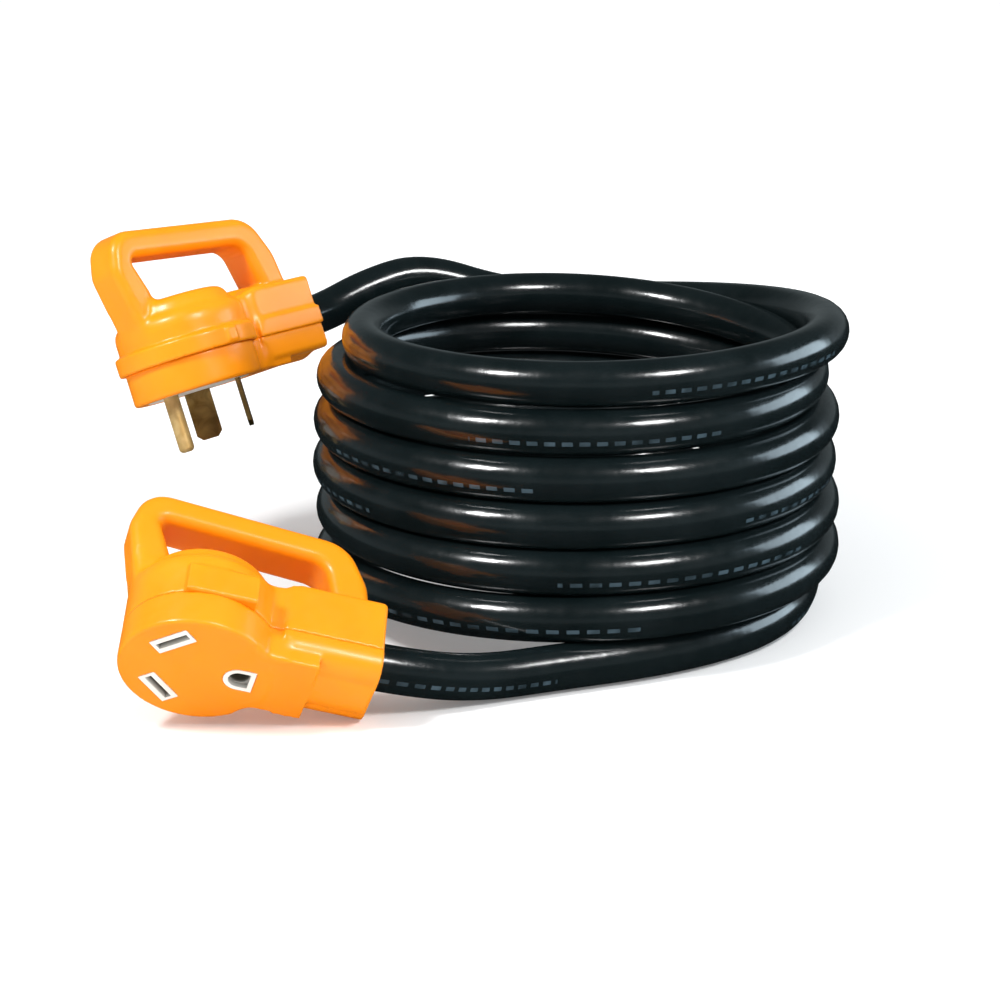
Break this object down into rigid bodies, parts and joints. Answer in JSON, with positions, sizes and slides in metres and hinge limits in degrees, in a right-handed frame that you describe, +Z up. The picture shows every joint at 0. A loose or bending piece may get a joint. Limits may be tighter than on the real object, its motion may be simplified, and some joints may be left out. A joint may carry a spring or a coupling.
{
  "type": "shore power cord",
  "caption": "Coiled heavy-duty shore power cord with a bladed plug and a slotted connector, each with a D-shaped carry handle.",
  "frame": {"origin": "centre of the underside of the whole coiled cord, on the floor it lies on", "axes": "+Z up; +X to the right as the coil is seen from its front, where the connector lies at the front left; +Y towards the back"},
  "size_m": [0.3058, 0.3026, 0.1453],
  "materials": {
    "orange_shell": "satin moulded orange plastic",
    "cord_jacket": "glossy black extruded jacket",
    "white_insulator": "off-white moulded insulator",
    "brass": "lightly tarnished brass",
    "copper": "bare stranded copper",
    "black_insulation": "black conductor insulation",
    "white_insulation": "white conductor insulation",
    "green_insulation": "green conductor insulation"
  },
  "bodies": {
    "cord_set": {"connector_contact_block": "white_insulator", "connector_contact_cover": "white_insulator", "connector_cord_grip": "cord_jacket", "connector_face_shell": "orange_shell", "connector_ground_contact": "brass", "connector_ground_wire": "green_insulation", "connector_handle_shell": "orange_shell", "connector_line_contact": "brass", "connector_line_wire": "black_insulation", "connector_neutral_contact": "brass", "connector_neutral_wire": "white_insulation", "connector_tail": "cord_jacket", "connector_wire_ends": "copper", "cord_coil": "cord_jacket", "plug_bridge": "white_insulator", "plug_bridge_cap": "white_insulator", "plug_cord_grip": "cord_jacket", "plug_face_shell": "orange_shell", "plug_ground_pin": "brass", "plug_ground_wire": "green_insulation", "plug_handle_shell": "orange_shell", "plug_line_blade": "brass", "plug_line_wire": "black_insulation", "plug_neutral_blade": "brass", "plug_neutral_wire": "white_insulation", "plug_tail": "cord_jacket", "plug_wire_ends": "copper"},
    "line_leaf_a": {"connector_line_leaf_a": "brass"},
    "line_leaf_b": {"connector_line_leaf_b": "brass"},
    "neutral_leaf_a": {"connector_neutral_leaf_a": "brass"},
    "neutral_leaf_b": {"connector_neutral_leaf_b": "brass"},
    "ground_leaf_a": {"connector_ground_leaf_a": "brass"},
    "ground_leaf_b": {"connector_ground_leaf_b": "brass"}
  },
  "joints": [
    {"name": "line_leaf_a_spread", "type": "hinge", "parent": "cord_set", "child": "line_leaf_a", "pos_m": [-0.10202, -0.12063, 0.02433], "axis": [0.4571, 0.4593, -0.7617], "range_deg": [0, 2], "stiffness_Nm_per_rad": 4},
    {"name": "line_leaf_b_spread", "type": "hinge", "parent": "cord_set", "child": "line_leaf_b", "pos_m": [-0.09864, -0.12156, 0.02579], "axis": [-0.4571, -0.4593, 0.7617], "range_deg": [0, 2], "stiffness_Nm_per_rad": 4},
    {"name": "neutral_leaf_a_spread", "type": "hinge", "parent": "cord_set", "child": "neutral_leaf_a", "pos_m": [-0.09133, -0.13349, 0.04519], "axis": [0.8894, -0.2461, 0.3853], "range_deg": [0, 2], "stiffness_Nm_per_rad": 4},
    {"name": "neutral_leaf_b_spread", "type": "hinge", "parent": "cord_set", "child": "neutral_leaf_b", "pos_m": [-0.09306, -0.13524, 0.04808], "axis": [-0.8894, 0.2461, -0.3853], "range_deg": [0, 2], "stiffness_Nm_per_rad": 4},
    {"name": "ground_leaf_a_spread", "type": "hinge", "parent": "cord_set", "child": "ground_leaf_a", "pos_m": [-0.07244, -0.12212, 0.02619], "axis": [0.9521, 0.1508, -0.2661], "range_deg": [0, 2], "stiffness_Nm_per_rad": 4},
    {"name": "ground_leaf_b_spread", "type": "hinge", "parent": "cord_set", "child": "ground_leaf_b", "pos_m": [-0.07039, -0.12547, 0.03162], "axis": [-0.9521, -0.1508, 0.2661], "range_deg": [0, 2], "stiffness_Nm_per_rad": 4}
  ]
}
